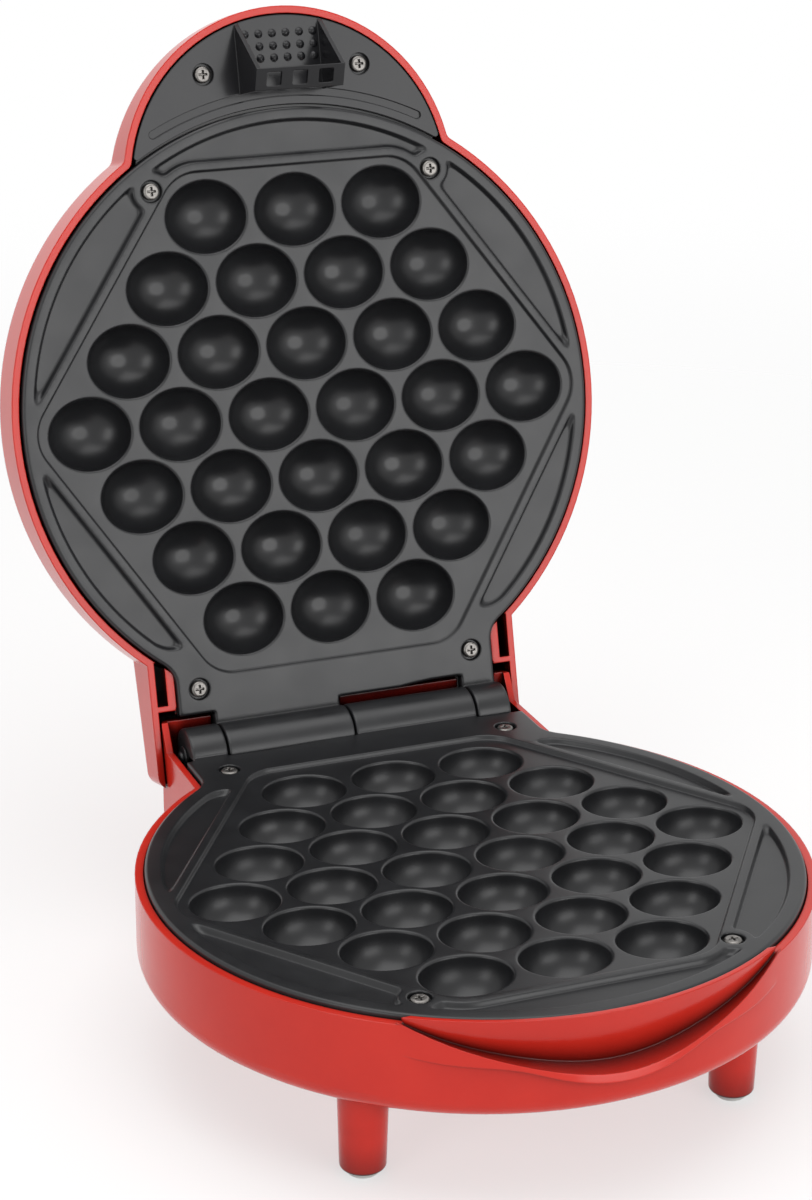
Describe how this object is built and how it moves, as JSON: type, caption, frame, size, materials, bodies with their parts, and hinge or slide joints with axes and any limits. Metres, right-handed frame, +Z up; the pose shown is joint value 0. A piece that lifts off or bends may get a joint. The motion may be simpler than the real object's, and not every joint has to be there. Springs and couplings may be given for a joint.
{
  "type": "bubble waffle maker",
  "caption": "Electric bubble waffle maker: round hinged base and lid with cast plates of oval cups, a domed red housing on legs and a handle lobe with a finger guard.",
  "frame": {"origin": "centre of the overall box at floor level, lid open", "axes": "+Z up, -Y towards the front where the lid's handle comes down, +X to the right of someone facing the front, along the hinge"},
  "size_m": [0.2084, 0.2976, 0.2945],
  "materials": {
    "red_shell": "glossy",
    "pads": "matte",
    "plate_coating": "satin non-stick coating on cast aluminium",
    "steel": "satin",
    "zinc_sheet": "zinc plated",
    "aluminium_sheet": "mill finish",
    "black_screws": "blackened",
    "thermostat_body": "moulded",
    "sleeving": "woven glass sleeve",
    "terminal_plastic": "moulded",
    "lead_insulation": "silicone rubber",
    "earth_insulation": "silicone rubber",
    "black_rubber": "matte",
    "black_gloss": "glossy",
    "red_lens": "clear tinted",
    "green_lens": "clear tinted",
    "neon_glass": "clear"
  },
  "bodies": {
    "base": {"base_shell": "red_shell", "foot_pads": "pads", "lower_plate": "plate_coating", "lower_heating_element": "steel", "lower_element_clips": "zinc_sheet", "lower_reflector": "aluminium_sheet", "lower_clip_screws": "steel", "lower_plate_screws": "black_screws", "thermostat": "thermostat_body", "bracket_screws": "steel", "thermal_fuse": "sleeving", "fuse_strap": "zinc_sheet", "terminal_block": "terminal_plastic", "base_wiring": "lead_insulation", "earth_lead": "earth_insulation", "cord_grommet": "black_rubber", "hinge_pin": "steel", "pin_rings": "steel"},
    "lid": {"lid_shell": "red_shell", "upper_plate": "plate_coating", "upper_heating_element": "steel", "upper_element_clips": "zinc_sheet", "upper_reflector": "aluminium_sheet", "upper_clip_screws": "steel", "upper_plate_screws": "black_screws", "handle_panel": "black_gloss", "panel_screws": "black_screws", "power_lens": "red_lens", "ready_lens": "green_lens", "power_neon": "neon_glass", "ready_neon": "neon_glass", "lid_terminal_block": "terminal_plastic", "lid_wiring": "lead_insulation"}
  },
  "joints": [
    {"name": "lid_hinge", "type": "hinge", "parent": "base", "child": "lid", "pos_m": [0, 0.07084, 0.0598], "axis": [1, 0, 0], "range_deg": [0, 104.5]}
  ]
}
